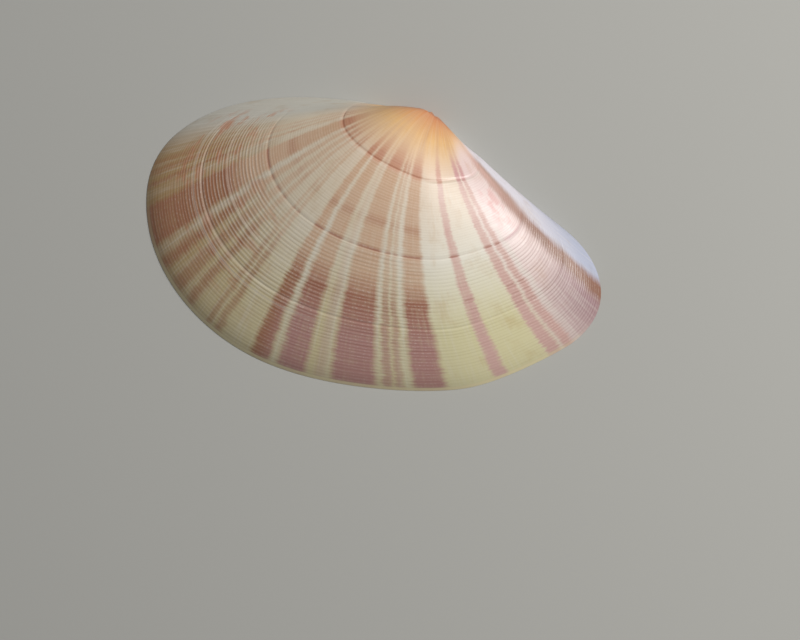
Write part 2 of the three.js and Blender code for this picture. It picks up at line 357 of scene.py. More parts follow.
def make_patch_group(rim_point, grown_point):
    """A grown wall, closed at its first stage, with growth and place round the rim stored."""
    tree, given = new_group("grown wall", "GeometryNodeTree", [
        ("Rim", GEOMETRY, None),
        ("Beak", VECTOR, None),
        ("First Stage", NUMBER, 0.1),
        ("Rows", WHOLE, 50),
        ("Columns", WHOLE, 50),
        ("Rim Width", NUMBER, 0.0),
        ("Plate Width", NUMBER, 0.0),
        ("Height", NUMBER, 1.0),
        ("Shoulder Rise", NUMBER, 1.0 * MM),
        ("Ridges", WHOLE, 0),
        ("Ridge Height", NUMBER, 0.0),
        ("Ridge Spacing", NUMBER, 0.4 * MM),
        ("Rest Depth", NUMBER, 0.0),
        ("Lean", VECTOR, None),
    ], [("Mesh", GEOMETRY)])
    mesh = flow(tree, "GeometryNodeMeshGrid", 0, {
        "Size X": 1.0, "Size Y": 1.0, "Vertices X": given["Columns"] + 1,
        "Vertices Y": given["Rows"] + 2})
    x, y, _ = separate(tree, flow(tree, "GeometryNodeInputPosition", 0))
    row = calc(tree, "ROUND", (y + 0.5) * (given["Rows"] + 1))
    done = calc(tree, "MAXIMUM", row - 1.0, 0.0) / given["Rows"]
    first = given["First Stage"]
    mesh = store(tree, mesh, "row", row)
    mesh = store(tree, mesh, "stage", first + (1.0 - first) * done)
    mesh = store(tree, mesh, "around", x + 0.5)
    row, stage, around = (stored(tree, name) for name in ("row", "stage", "around"))

    edge = edge_mesh(tree, given, rim_point)
    shared = {name: given[name] for name in (
        "Rim", "Beak", "Rim Width", "Plate Width", "Height", "Shoulder Rise", "Lean")}

    def wall(stage, share):
        return geometry_group(tree, grown_point, 0, {
            **shared, "Edge": edge, "Stage": stage, "Share": share})

    place_now = wall(stage, around)
    mesh = flow(tree, "GeometryNodeSetPosition", 0, {"Geometry": mesh, "Position": place_now})

    # Width of one ridge where it lies, from the slope of the wall in both directions
    back = vector_calc(tree, "SUBTRACT", place_now, wall(stage - SLOPE_STEP, around))
    along = vector_calc(tree, "SUBTRACT", wall(stage, around + SLOPE_STEP), place_now)
    area = vector_calc(tree, "LENGTH", vector_calc(tree, "CROSS_PRODUCT", along, back))
    step = area / vector_calc(tree, "LENGTH", along)
    spacing = step / (given["Ridges"] * SLOPE_STEP)
    room = ease(tree, spacing, 0.0, given["Ridge Spacing"])

    # Growth lines lag a little at both ends of the hinge, and waver slightly
    past = calc(tree, "MAXIMUM", around - 0.76, 0.0) / 0.24
    lag = calc(tree, "POWER", past, 2.2) * 0.40 + ease(tree, around, 0.52, 0.78) * 0.012
    lag = lag + ease(tree, around, 0.27, 0.18) * 0.012
    waver = flow(tree, "ShaderNodeTexNoise", 0, {
        "Vector": combine(tree, around * 7.0, stage * 9.0), "Scale": 1.0, "Detail": 1.0})
    jitter = flow(tree, "ShaderNodeTexNoise", 0, {
        "Vector": combine(tree, around * 5.0, stage * 47.0), "Scale": 1.0, "Detail": 1.5})
    growth = stage - lag * ease(tree, stage, 1.0, 0.8) + (waver - 0.5) * 0.004
    growth = growth + (jitter - 0.5) * 0.009 * ease(tree, stage, 1.0, 0.97)
    mesh = store(tree, mesh, "growth", growth)
    growth = stored(tree, "growth")

    # Ridges rise gently and drop to the next groove, and no two are quite alike
    phase = ridge_phase(tree, growth)
    rise = calc(tree, "SINE", (phase - 0.25) * (2 * math.pi))
    lean = calc(tree, "SINE", (phase - 0.25) * (4 * math.pi)) * 0.12
    profile = rise * 0.5 + 0.5 - lean
    number = calc(tree, "FLOOR", phase)
    uneven = flow(tree, "ShaderNodeTexNoise", 0, {
        "Vector": combine(tree, around * 9.0, number * 0.73), "Scale": 1.0, "Detail": 2.0})
    front_zone = ease(tree, around, 0.52, 0.66) * ease(tree, around, 0.88, 0.8)
    front_zone = front_zone * ease(tree, growth, 0.56, 0.62) * ease(tree, growth, 0.88, 0.82)
    age = ease(tree, growth, 0.22, 0.34) * 0.30 + ease(tree, growth, 0.53, 0.62) * 0.38 + 0.08
    age = age - ease(tree, growth, 0.82, 0.92) * 0.30
    hind_zone = ease(tree, around, 0.165, 0.19) * ease(tree, around, 0.25, 0.21)
    hind_zone = hind_zone * ease(tree, growth, 0.5, 0.6)
    quiet = ease(tree, around, 0.22, 0.27) * ease(tree, around, 0.38, 0.35)
    age = (age + front_zone * 0.35 + hind_zone * 0.5) * (1.0 - quiet * 0.4)
    strength = (uneven * 2.0) * age
    smooth_rim = ease(tree, stage, 1.0, 0.985)
    relief = given["Ridge Height"] * profile * strength
    for rest in REST_STAGES:
        groove = ease(tree, calc(tree, "ABSOLUTE", growth - rest), 0.009, 0.0)
        relief = relief - given["Rest Depth"] * groove
    relief = relief * room * smooth_rim
    margin = calc(tree, "GREATER_THAN", around * (1.0 - around), 1e-6)
    normal = flow(tree, "GeometryNodeInputNormal", 0)
    mesh = flow(tree, "GeometryNodeSetPosition", 0, {
        "Geometry": mesh, "Offset": vector_scale(tree, normal, relief * margin)})
    mesh = store(tree, mesh, "room", room * smooth_rim)

    # The first row closes to one tip; its two ends close on the beak itself
    tip = place(tree, "GeometryNodeAttributeStatistic", data_type="FLOAT_VECTOR", domain="POINT")
    feed(tree, tip.inputs["Geometry"], mesh)
    feed(tree, tip.inputs["Selection"], compare(tree, "EQUAL", row, 1.0, data_type="FLOAT"))
    feed(tree, tip.inputs["Attribute"], flow(tree, "GeometryNodeInputPosition", 0))
    mean = tip.outputs["Mean"]
    at_end = compare(tree, "LESS_THAN", around * (1.0 - around), 1e-6, data_type="FLOAT")
    corner = vector_calc(tree, "ADD", given["Beak"], given["Lean"])
    closed = choose(tree, at_end, mean, corner)
    mesh = flow(tree, "GeometryNodeSetPosition", 0, {
        "Geometry": mesh, "Position": closed,
        "Selection": compare(tree, "LESS_THAN", row, 0.5, data_type="FLOAT")})
    mesh = flow(tree, "GeometryNodeMergeByDistance", 0, {"Geometry": mesh, "Distance": 0.0005 * MM})
    for name in ("row", "stage"):
        mesh = flow(tree, "GeometryNodeRemoveAttribute", 0, {"Geometry": mesh, "Name": name})
    finish_group(tree, {"Mesh": mesh})
    return tree


def like_nearest(tree, geometry, walls):
    """Give a part of the flat rim the growth and place of the wall that it joins."""
    position = flow(tree, "GeometryNodeInputPosition", 0)
    nearest = flow(tree, "GeometryNodeSampleNearest", 0, {
        "Geometry": walls, "Sample Position": position}, domain="POINT")
    for name in ("around", "growth", "room"):
        value = flow(tree, "GeometryNodeSampleIndex", 0, {
            "Geometry": walls, "Value": stored(tree, name), "Index": nearest},
            data_type="FLOAT", domain="POINT")
        geometry = store(tree, geometry, name, value)
    return store(tree, geometry, "plate", 1.0, "FACE")


def make_valve_tree(outside, inside):
    rim_point = make_rim_point_group()
    grown_point = make_grown_point_group(rim_point)
    patch = make_patch_group(rim_point, grown_point)
    tree, given = new_group("valve growth", "GeometryNodeTree", [
        ("Geometry", GEOMETRY, None),
        ("Rim", "NodeSocketObject", None),
        ("Hinge Hollows", "NodeSocketObject", None),
        ("Beak", VECTOR, None),
        ("Inner Beak", VECTOR, None),
        ("Lean", VECTOR, None),
        ("Shoulder Rise", NUMBER, 1.0 * MM),
        ("Inner Shoulder Rise", NUMBER, 0.75 * MM),
        ("Inner Height", NUMBER, 0.92),
        ("Rim Width", NUMBER, 0.85 * MM),
        ("Plate Width", NUMBER, 2.5 * MM),
        ("Ridges", WHOLE, RIDGES),
        ("Ridge Height", NUMBER, RIDGE_HEIGHT * MM),
        ("Rest Depth", NUMBER, REST_DEPTH * MM),
        ("Hollow Depth", NUMBER, HOLLOW_DEPTH * MM),
    ], [("Geometry", GEOMETRY)])
    rim = flow(tree, "GeometryNodeObjectInfo", "Geometry", {"Object": given["Rim"]})
    outer = geometry_group(tree, patch, 0, {
        "Rim": rim, "Beak": given["Beak"], "Lean": given["Lean"], "First Stage": FIRST_STAGE,
        "Rows": ROWS, "Columns": COLUMNS, "Height": 1.0,
        "Shoulder Rise": given["Shoulder Rise"], "Ridges": given["Ridges"],
        "Ridge Height": given["Ridge Height"], "Ridge Spacing": RIDGE_FULL_SPACING * MM,
        "Rest Depth": given["Rest Depth"]})
    inner = geometry_group(tree, patch, 0, {
        "Rim": rim, "Beak": given["Inner Beak"], "First Stage": INNER_FIRST_STAGE,
        "Rows": INNER_ROWS, "Columns": INNER_COLUMNS, "Height": given["Inner Height"],
        "Rim Width": given["Rim Width"], "Plate Width": given["Plate Width"],
        "Shoulder Rise": given["Inner Shoulder Rise"], "Ridges": 1})

    # Flat rim and hinge plate between the two walls, with the hollows in it
    hollow_lines = flow(tree, "GeometryNodeObjectInfo", "Geometry", {"Object": given["Hinge Hollows"]})
    neighbours = flow(tree, "GeometryNodeInputMeshEdgeNeighbors", 0)
    border = compare(tree, "EQUAL", neighbours, 1.0, data_type="FLOAT")
    lines = place(tree, "GeometryNodeJoinGeometry")
    for wall in (outer, inner):
        line = flow(tree, "GeometryNodeMeshToCurve", 0, {"Mesh": wall, "Selection": border})
        tree.links.new(line.socket, lines.inputs[0])
    tree.links.new(hollow_lines.socket, lines.inputs[0])
    flat = flow(tree, "GeometryNodeFillCurve", 0, {"Curve": lines.outputs[0]}, mode="TRIANGLES")
    flat = flow(tree, "GeometryNodeFlipFaces", 0, {"Mesh": flat})
    hollows = flow(tree, "GeometryNodeFillCurve", 0, {"Curve": hollow_lines}, mode="TRIANGLES")
    hollows = flow(tree, "GeometryNodeExtrudeMesh", 0, {
        "Mesh": hollows, "Offset": (0.0, 0.0, 1.0), "Offset Scale": given["Hollow Depth"],
        "Individual": False}, mode="FACES")
    hollows = flow(tree, "GeometryNodeFlipFaces", 0, {"Mesh": hollows})
    inner = flow(tree, "GeometryNodeFlipFaces", 0, {"Mesh": inner})
    walls = place(tree, "GeometryNodeJoinGeometry")
    for wall in (outer, inner):
        tree.links.new(wall.socket, walls.inputs[0])
    flat = like_nearest(tree, flat, walls.outputs[0])
    hollows = like_nearest(tree, hollows, walls.outputs[0])

    join = place(tree, "GeometryNodeJoinGeometry")
    for part, material, smooth in (
            (outer, outside, True), (inner, inside, True), (flat, inside, False), (hollows, inside, True)):
        part = flow(tree, "GeometryNodeSetShadeSmooth", 0, {
            "Geometry": part, "Shade Smooth": smooth}, domain="FACE")
        part = flow(tree, "GeometryNodeSetMaterial", 0, {"Geometry": part, "Material": material})
        tree.links.new(part.socket, join.inputs[0])
    mesh = flow(tree, "GeometryNodeRealizeInstances", 0, {"Geometry": join.outputs[0]})
    mesh = flow(tree, "GeometryNodeMergeByDistance", 0, {"Geometry": mesh, "Distance": 0.001 * MM})
    angle = flow(tree, "GeometryNodeInputMeshEdgeAngle", 0)
    mesh = flow(tree, "GeometryNodeSetShadeSmooth", 0, {
        "Geometry": mesh, "Shade Smooth": False,
        "Selection": compare(tree, "GREATER_THAN", angle, math.radians(50), data_type="FLOAT")},
        domain="EDGE")
    finish_group(tree, {"Geometry": mesh})
    return tree


def rim_curve():
    data = bpy.data.curves.new("rim line", "CURVE")
    data.dimensions = "3D"
    data.resolution_u = 96
    spline = data.splines.new("BEZIER")
    spline.bezier_points.add(len(RIM_CURVES))
    points = spline.bezier_points
    ends = [RIM_START] + [curve[2] for curve in RIM_CURVES]
    for i, end in enumerate(ends):
        before = RIM_CURVES[i - 1][1] if i > 0 else end
        after = RIM_CURVES[i][0] if i < len(RIM_CURVES) else end
        points[i].handle_left_type = "FREE"
        points[i].handle_right_type = "FREE"
        points[i].co = Vector((*end, 0.0)) * MM
        points[i].handle_left = Vector((*before, 0.0)) * MM
        points[i].handle_right = Vector((*after, 0.0)) * MM
    return link("rim line", data)


def hollow_curves():
    data = bpy.data.curves.new("hinge hollows", "CURVE")
    data.dimensions = "3D"
    data.resolution_u = 5
    for corners in HINGE_HOLLOWS:
        spline = data.splines.new("BEZIER")
        spline.bezier_points.add(len(corners) - 1)
        spline.use_cyclic_u = True
        for point, corner in zip(spline.bezier_points, corners):
            point.co = Vector((*corner, 0.0)) * MM
            point.handle_left_type = "AUTO"
            point.handle_right_type = "AUTO"
    return link("hinge hollows", data)


def link(name, data):
    made = bpy.data.objects.new(name, data)
    bpy.context.scene.collection.objects.link(made)
    return made


def grow_valve(outside, inside):
    rim = rim_curve()
    hollows = hollow_curves()
    host = link("grown valve", bpy.data.meshes.new("grown valve"))
    tree = make_valve_tree(outside, inside)
    values = {
        "Rim": rim,
        "Hinge Hollows": hollows,
        "Beak": (BEAK[0] * MM, BEAK[1] * MM, 0.0),
        "Inner Beak": (INNER_BEAK[0] * MM, INNER_BEAK[1] * MM, 0.0),
        "Lean": (BEAK_LEAN[0] * MM, BEAK_LEAN[1] * MM, 0.0),
    }
    modifier = host.modifiers.new("growth", "NODES")
    modifier.node_group = tree
    for item in tree.interface.items_tree:
        if item.in_out == "INPUT" and item.name in values:
            modifier[item.identifier] = values[item.name]
    bpy.context.view_layer.update()
    grown = host.evaluated_get(bpy.context.evaluated_depsgraph_get())
    mesh = bpy.data.meshes.new_from_object(grown)
    for number in reversed(range(len(mesh.materials))):
        if mesh.materials[number] is None:
            mesh.materials.pop(index=number)
    valve = link("clam_shell", mesh)
    for helper in (host, rim, hollows):
        bpy.data.objects.remove(helper)
    return valve


# Materials

def srgb(red, green, blue):
    """Colour from the usual 0 to 255 values."""
    def linear(part):
        part /= 255
        return part / 12.92 if part <= 0.04045 else ((part + 0.055) / 1.055) ** 2.4
    return (linear(red), linear(green), linear(blue), 1.0)


def shader_group(tree, group, output, inputs):
    return flow(tree, "ShaderNodeGroup", output, inputs, node_tree=group)


def blend(tree, amount, first, second, kind="MIX"):
    """Mix of two colours."""
    node = tree.nodes.new("ShaderNodeMix")
    node.data_type = "RGBA"
    node.blend_type = kind
    node.clamp_factor = True
    feed(tree, node.inputs[0], amount)
    feed(tree, node.inputs[6], first)
    feed(tree, node.inputs[7], second)
    return Flow(tree, node.outputs[2])


def ramp(tree, value, stops):
    """Colour ramp over a value, with (place, colour) stops."""
    node = place(tree, "ShaderNodeValToRGB", {"Fac": value})
    elements = node.color_ramp.elements
    while len(elements) < len(stops):
        elements.new(0.5)
    for element, (position, colour) in zip(elements, stops):
        element.position = position
        element.color = colour
    return Flow(tree, node.outputs["Color"])


def level(tree, value, stops):
    """Number that follows a value through (place, number) stops."""
    return ramp(tree, value, [(position, (number, number, number, 1.0)) for position, number in stops])


def make_band_group():
    """Mask of a soft-edged band about a centre."""
    tree, given = new_group("band", "ShaderNodeTree", [
        ("Value", NUMBER, 0.0),
        ("Centre", NUMBER, 0.5),
        ("Half Width", NUMBER, 0.01),
        ("Softness", NUMBER, 0.004),
        ("Blur", NUMBER, 1.0),
    ], [("Mask", NUMBER)])
    off = calc(tree, "ABSOLUTE", given["Value"] - given["Centre"])
    soft = given["Softness"] * given["Blur"]
    finish_group(tree, {
        "Mask": ease(tree, off, given["Half Width"] + soft, given["Half Width"] - soft)})
    return tree


def make_streak_group():
    """Uneven streaks that run with the rays or with the growth lines."""
    tree, given = new_group("streaks", "ShaderNodeTree", [
        ("Around", NUMBER, 0.0),
        ("Growth", NUMBER, 0.0),
        ("Across Rays", NUMBER, 100.0),
        ("Across Growth", NUMBER, 10.0),
        ("Detail", NUMBER, 3.0),
        ("Roughness", NUMBER, 0.55),
    ], [("Amount", NUMBER)])
    where = combine(tree, given["Around"] * given["Across Rays"],
                    given["Growth"] * given["Across Growth"])
    amount = flow(tree, "ShaderNodeTexNoise", 0, {
        "Vector": where, "Scale": 1.0, "Detail": given["Detail"], "Roughness": given["Roughness"]})
    finish_group(tree, {"Amount": amount})
    return tree


# Rays of colour: centre and half width as shares of the rim, softness, and strength
RAYS = (
    (0.1765, 0.0075, 0.0080, 1.3),
    (0.238, 0.0045, 0.003, 1.1),
    (0.2535, 0.006, 0.003, 1.15),
    (0.3095, 0.0068, 0.003, 1.0),
    (0.3785, 0.0155, 0.005, 1.0),
    (0.408, 0.004, 0.003, 0.6),
    (0.4195, 0.0045, 0.003, 0.7),
    (0.4535, 0.0215, 0.005, 1.0),
    (0.487, 0.005, 0.004, 0.3),
    (0.516, 0.014, 0.005, 1.0),
    (0.549, 0.009, 0.004, 1.0),
    (0.596, 0.004, 0.003, 0.55),
    (0.6075, 0.0035, 0.003, 0.5),
    (0.635, 0.005, 0.004, 0.65),
    (0.655, 0.007, 0.004, 0.60),
    (0.679, 0.006, 0.004, 0.75),
    (0.7175, 0.0195, 0.004, 1.0),
    (0.7575, 0.0025, 0.002, 0.6),
    (0.7705, 0.0035, 0.003, 0.5),
    (0.781, 0.003, 0.002, 0.35),
)
PALE_RAYS = (
    (0.2285, 0.0035, 0.004, 0.55),
    (0.399, 0.003, 0.004, 0.40),
    (0.4285, 0.003, 0.004, 0.40),
    (0.483, 0.005, 0.006, 0.40),
    (0.535, 0.004, 0.004, 0.45),
    (0.5745, 0.012, 0.006, 0.15),
    (0.691, 0.0045, 0.006, 0.38),
    (0.7475, 0.005, 0.004, 0.15),
)
RAY_LEVEL = (
    (0.05, 0.30), (0.20, 0.45), (0.28, 0.85), (0.31, 0.85), (0.42, 0.85), (0.46, 1.0), (0.50, 0.85),
    (0.60, 0.85), (0.66, 0.9), (0.705, 1.0), (0.98, 1.0),
)

# Thin dark rows across the rays, and white ones at the front: growth, half width, softness, strength
ROW_LINES = (
    (0.7035, 0.0030, 0.003, 0.9),
    (0.7130, 0.0015, 0.002, 0.5),
    (0.7350, 0.0020, 0.002, 0.7),
    (0.7510, 0.0015, 0.002, 0.5),
    (0.7700, 0.0015, 0.002, 0.6),
    (0.7790, 0.0015, 0.002, 0.4),
    (0.8330, 0.0015, 0.002, 0.3),
    (0.8600, 0.0015, 0.002, 0.3),
    (0.9640, 0.0020, 0.002, 0.3),
)
WHITE_LINES = (
    (0.692, 0.0020, 0.002, 0.8),
    (0.7860, 0.0020, 0.002, 0.9),
    (0.7990, 0.0015, 0.002, 0.7),
    (0.8165, 0.0025, 0.002, 1.0),
)
# Strength of the painted ridge shading, a highlight on the crests and shade in the grooves, by stage of
# growth: stage and strength
RIDGE_SHADING_BY_GROWTH = (
    (0.10, 0.05), (0.22, 0.10), (0.31, 0.40), (0.52, 0.50), (0.60, 0.80), (0.78, 0.90), (0.86, 0.70),
    (0.97, 0.45),
)

# Paints of the ground, then of the rays and blushes
ORANGE = srgb(206, 126, 78)
PEACH = srgb(234, 188, 128)
CREAM = srgb(230, 208, 184)
IVORY = srgb(234, 228, 212)
STRAW = srgb(220, 212, 168)
SAND = srgb(196, 174, 134)
TAN = srgb(168, 130, 82)
# Grey of the front slope, partly its own colour and partly painted shade where it faces away from the
# light
SILVER_SHADE = srgb(198, 196, 186)
# Pale pink of the hind ridge, partly its own colour and partly a painted highlight
PINK_WHITE_HIGHLIGHT = srgb(236, 212, 208)
DUSKY_PINK = srgb(196, 160, 152)
MAUVE = srgb(162, 130, 134)
# Lilac of the hind slope: painted reflection of cool skylight
LILAC_WHITE_REFLECTION = srgb(220, 216, 224)
LILAC_REFLECTION = srgb(176, 182, 202)
BUFF = srgb(214, 170, 130)
ROSE_BUFF = srgb(206, 170, 140)
BRICK = srgb(172, 120, 98)
ROSE = srgb(184, 138, 130)
PINK = srgb(214, 176, 166)
RUSSET = srgb(166, 114, 78)
UMBER = srgb(140, 98, 78)
BLOTCH = srgb(190, 130, 98)
FLUSH = srgb(226, 164, 158)
YOUNG_BROWN = srgb(176, 138, 118)
ROSE_RED = srgb(198, 134, 136)
BURNT_ORANGE = srgb(200, 136, 104)

# Paints that lie over them in streaks, lines and ridges
MOTTLE = srgb(226, 200, 168)
HAIR_STREAK = srgb(232, 226, 214)
PALE_RAY = srgb(226, 219, 207)
FIRST_REST = srgb(172, 104, 76)
FRESH_STEP = srgb(236, 226, 208)
SECOND_REST = srgb(164, 98, 78)
SECOND_REST_HIND = srgb(186, 112, 128)
ROW_BROWN = srgb(154, 98, 76)
# Straw edge: its own yellowish margin, brightened with painted light glowing through the thin rim
EDGE_STRAW_AND_GLOW = srgb(232, 218, 176)
# Crest paint: painted highlight on the ridges, with pale dashes of their own colour; groove paint: painted
# shade
CREST_WHITE_AND_HIGHLIGHT = srgb(250, 240, 230)
GROOVE_SHADE = srgb(140, 108, 86)
LINE_WHITE = srgb(238, 229, 216)

# Paints of the lining, from its deep part to the rim, then of what shows on it
LINING_BY_GROWTH = (
    (0.02, srgb(238, 184, 128)),
    (0.22, srgb(242, 204, 158)),
    (0.42, srgb(244, 224, 198)),
    (0.62, srgb(243, 234, 222)),
    (0.84, srgb(240, 233, 224)),
    (0.97, srgb(238, 232, 218)),
)
RAY_GHOST = srgb(214, 170, 156)
SCAR_TINT = srgb(226, 206, 190)
SCAR_LINE = srgb(206, 182, 164)
PLATE_CREAM = srgb(240, 235, 222)

# Ground and rays change with growth, and further coats lie over them: paint, strength, and then
# the shares of the rim and the stages of growth over which each sets in
GROUND_BY_GROWTH = ((0.07, ORANGE), (0.165, PEACH), (0.30, CREAM), (0.56, IVORY), (0.80, STRAW))
GROUND_COATS = (
    (SAND, 0.45, (0.34, 0.46), (0.12, 0.50)),
    (TAN, 0.85, (0.56, 0.74), (0.40, 0.78)),
    # Grey over the front slope, partly its own colour and partly painted shade where it faces away from
    # the light
    (SILVER_SHADE, 0.90, (0.775, 0.84), (0.15, 0.45)),
    # Pale pink over the hind ridge, partly its own colour and partly a painted highlight
    (PINK_WHITE_HIGHLIGHT, 0.90, (0.270, 0.226), (0.09, 0.24)),
    (DUSKY_PINK, 0.60, (0.215, 0.180), (0.40, 0.62)),
    (MAUVE, 0.95, (0.262, 0.190), (0.56, 0.92)),
    # Lilac over the hind slope: painted reflection of cool skylight
    (LILAC_WHITE_REFLECTION, 0.95, (0.188, 0.160), (0.10, 0.34)),
    (LILAC_REFLECTION, 0.95, (0.188, 0.160), (0.50, 1.0)),
)
RAYS_BY_GROWTH = ((0.18, BUFF), (0.42, ROSE_BUFF), (0.62, ROSE_BUFF), (0.71, BRICK), (0.84, ROSE))
RAY_COATS = (
    (RUSSET, 0.85, (0.528, 0.560), (0.60, 0.76)),
    (PINK, 0.90, (0.355, 0.335), (0.16, 0.28)),
    (UMBER, 0.95, (0.220, 0.195), (0.24, 0.72)),
)

# Deeper bands across the rays, as the rows above are given
DEEP_BANDS = (
    (0.275, 0.012, 0.014, 0.7),
    (0.465, 0.008, 0.020, 0.5),
    (0.705, 0.004, 0.012, 0.6),
)

# Places on the lining: share of the rim and stage of growth of the middle, then the reach in each
FRONT_SCAR = (0.795, 0.70, 0.028, 0.12)
HIND_SCAR = (0.185, 0.72, 0.026, 0.085)
MANTLE_BAY = (0.36, 0.64, 0.175, 0.165)
MANTLE_STAGE = 0.795
GHOST_HALF_WIDTH = 0.0065


def attribute(tree, name):
    return Flow(tree, place(tree, "ShaderNodeAttribute", attribute_name=name).outputs["Fac"])


def new_material(name):
    material = bpy.data.materials.new(name)
    material.use_nodes = True
    tree = material.node_tree
    tree.nodes.clear()
    surface = tree.nodes.new("ShaderNodeBsdfPrincipled")
    output = tree.nodes.new("ShaderNodeOutputMaterial")
    tree.links.new(surface.outputs[0], output.inputs["Surface"])
    return material, tree, surface


def coated(tree, colour, around, growth, coats):
    """Lay further paints over a colour, each where it sets in round the rim and with growth."""
    for paint, strength, across, along in coats:
        mask = ease(tree, around, *across) * ease(tree, growth, *along) * strength
        colour = blend(tree, mask, colour, paint)
    return colour


class Paintwork:
    """A material in the making, with the patterns that follow the growth of the shell."""

    def __init__(self, name, band, streaks):
        self.material, self.tree, self.surface = new_material(name)
        self.band = band
        self.streaks = streaks
        self.around = attribute(self.tree, "around")
        self.growth = attribute(self.tree, "growth")

    def banded(self, value, centre, half_width, softness, blur=1.0):
        return shader_group(self.tree, self.band, 0, {
            "Value": value, "Centre": centre, "Half Width": half_width, "Softness": softness,
            "Blur": blur})

    def streaked(self, across_rays, across_growth, detail=3.0, roughness=0.55, along=None):
        return shader_group(self.tree, self.streaks, 0, {
            "Around": self.around, "Growth": self.growth if along is None else along,
            "Across Rays": across_rays, "Across Growth": across_growth, "Detail": detail,
            "Roughness": roughness})

    def strongest(self, value, bands, blur=1.0):
        most = None
        for centre, half_width, softness, strength in bands:
            mask = self.banded(value, centre, half_width, softness, blur) * strength
            most = mask if most is None else calc(self.tree, "MAXIMUM", most, mask)
        return most

    def set_bump(self, height, strength, distance):
        bump = place(self.tree, "ShaderNodeBump", {
            "Strength": strength, "Distance": distance * MM, "Height": height})
        feed(self.tree, self.surface.inputs["Normal"], bump.outputs[0])


def paint_ground(work, wavered):
    """Ground colour, mottled and streaked, with the pale rays; its coats hold a painted highlight on the
    hind ridge, a painted reflection on the hind slope and painted shade on the front slope.
    """
    tree, around, growth = work.tree, work.around, work.growth
    pale = work.strongest(wavered, PALE_RAYS, ray_blur(work))
    zone = around + (0.34 - around) * ease(tree, growth, 0.30, 0.06, 0.0, 0.42)
    ground = coated(tree, ramp(tree, growth, GROUND_BY_GROWTH), zone, growth, GROUND_COATS)
    patches = work.streaked(34.0, 9.0, 4.0, 0.6)
    ground = blend(tree, ease(tree, patches, 0.5, 0.75) * 0.35, ground, MOTTLE, "MULTIPLY")
    hair = work.streaked(330.0, 4.0, 3.0, 0.6)
    ground = blend(tree, ease(tree, hair, 0.45, 0.7) * 0.22, ground, HAIR_STREAK)
    pale_end = ease(tree, growth, 0.25, 0.62) * ease(tree, growth, 1.0, 0.7, 0.45, 1.0)
    return blend(tree, pale * pale_end, ground, PALE_RAY)


def ray_blur(work):
    """Near the beak the rays run together."""
    return ease(work.tree, work.growth, 0.34, 0.10, 1.0, 3.0)


def paint_rays(work, ground, wavered, rays, breaks):
    """Rays, broken up along and across, and blotches and flushes between them."""
    tree, around, growth = work.tree, work.around, work.growth
    lengthwise = work.streaked(260.0, 5.0, 3.0)
    front = ease(tree, around, 0.56, 0.66) * ease(tree, growth, 0.50, 0.66)
    amount = rays * level(tree, growth, RAY_LEVEL) * (0.62 + lengthwise * 0.72)
    amount = amount * (0.72 - front * 0.42 + breaks * (0.56 + front * 0.85))

    blotches = ease(tree, work.streaked(30.0, 24.0, 3.0, 0.6), 0.50, 0.66) * front
    blotches = blotches * ease(tree, around, 0.87, 0.82) * ease(tree, growth, 0.92, 0.84)
    ground = blend(tree, blotches * 0.75, ground, BLOTCH)
    flush = work.banded(around, 0.205, 0.014, 0.008)
    flush = flush * ease(tree, growth, 0.30, 0.40) * ease(tree, growth, 0.56, 0.50)
    flush = flush * ease(tree, work.streaked(60.0, 16.0, 2.0), 0.42, 0.58)
    ground = blend(tree, flush * 0.6, ground, FLUSH)
    brown = work.banded(wavered, 0.171, 0.012, 0.010)
    brown = brown * ease(tree, growth, 0.62, 0.46) * ease(tree, growth, 0.24, 0.31)
    ground = blend(tree, brown * 0.9, ground, YOUNG_BROWN)

    paint = ramp(tree, growth, RAYS_BY_GROWTH)
    paint = blend(tree, work.strongest(growth, DEEP_BANDS), paint, BRICK)
    paint = coated(tree, paint, around, growth, RAY_COATS)
    return blend(tree, amount, ground, paint)


def paint_rest_lines(work, colour, rays, breaks):
    """Growth lines where the shell rested, dark where rays cross them, and the pale edge: its own straw
    colour with painted light glowing through the thin rim.
    """
    tree, around, growth = work.tree, work.around, work.growth
    blush = ease(tree, growth, 0.19, 0.285) * ease(tree, growth, 0.315, 0.295)
    blush = blush * (0.15 + rays * 0.75) * ease(tree, around, 0.18, 0.22)
    blush_paint = blend(tree, ease(tree, around, 0.255, 0.30), ROSE_RED, BURNT_ORANGE)
    colour = blend(tree, blush * 0.70, colour, blush_paint)

    hind = work.banded(around, 0.207, 0.019, 0.012)
    on_rays = calc(tree, "MAXIMUM", 0.06 + rays * 0.94, hind * 0.6)
    line_strength = 0.40 + breaks * 0.5
    first_span = ease(tree, around, 0.24, 0.36, 0.3, 1.0) * ease(tree, around, 0.80, 0.76)
    first_line = work.banded(growth, 0.2925, 0.0030, 0.003) * first_span * (0.35 + rays * 0.65)
    colour = blend(tree, first_line * line_strength * 0.95, colour, FIRST_REST)
    pale_step = work.banded(growth, 0.3035, 0.006, 0.006) * ease(tree, around, 0.15, 0.2)
    colour = blend(tree, pale_step * (0.24 - rays * 0.16), colour, FRESH_STEP)
    second_span = ease(tree, around, 0.17, 0.21) * ease(tree, around, 0.80, 0.76)
    second_line = work.banded(growth, 0.550, 0.0045, 0.004) * second_span * on_rays
    line_paint = blend(tree, hind, SECOND_REST, SECOND_REST_HIND)
    colour = blend(tree, second_line * line_strength * 0.95, colour, line_paint)

    rows = work.strongest(growth, ROW_LINES) * ease(tree, around, 0.82, 0.78) * rays
    colour = blend(tree, rows * (0.05 + breaks * 0.7), colour, ROW_BROWN)
    # Straw edge of the belly, partly its own colour and partly painted light glowing through the thin rim
    edge = ease(tree, growth, 0.986, 0.991)
    edge = edge * ease(tree, around, 0.20, 0.30) * ease(tree, around, 0.80, 0.62)
    return blend(tree, edge * 0.8, colour, EDGE_STRAW_AND_GLOW)


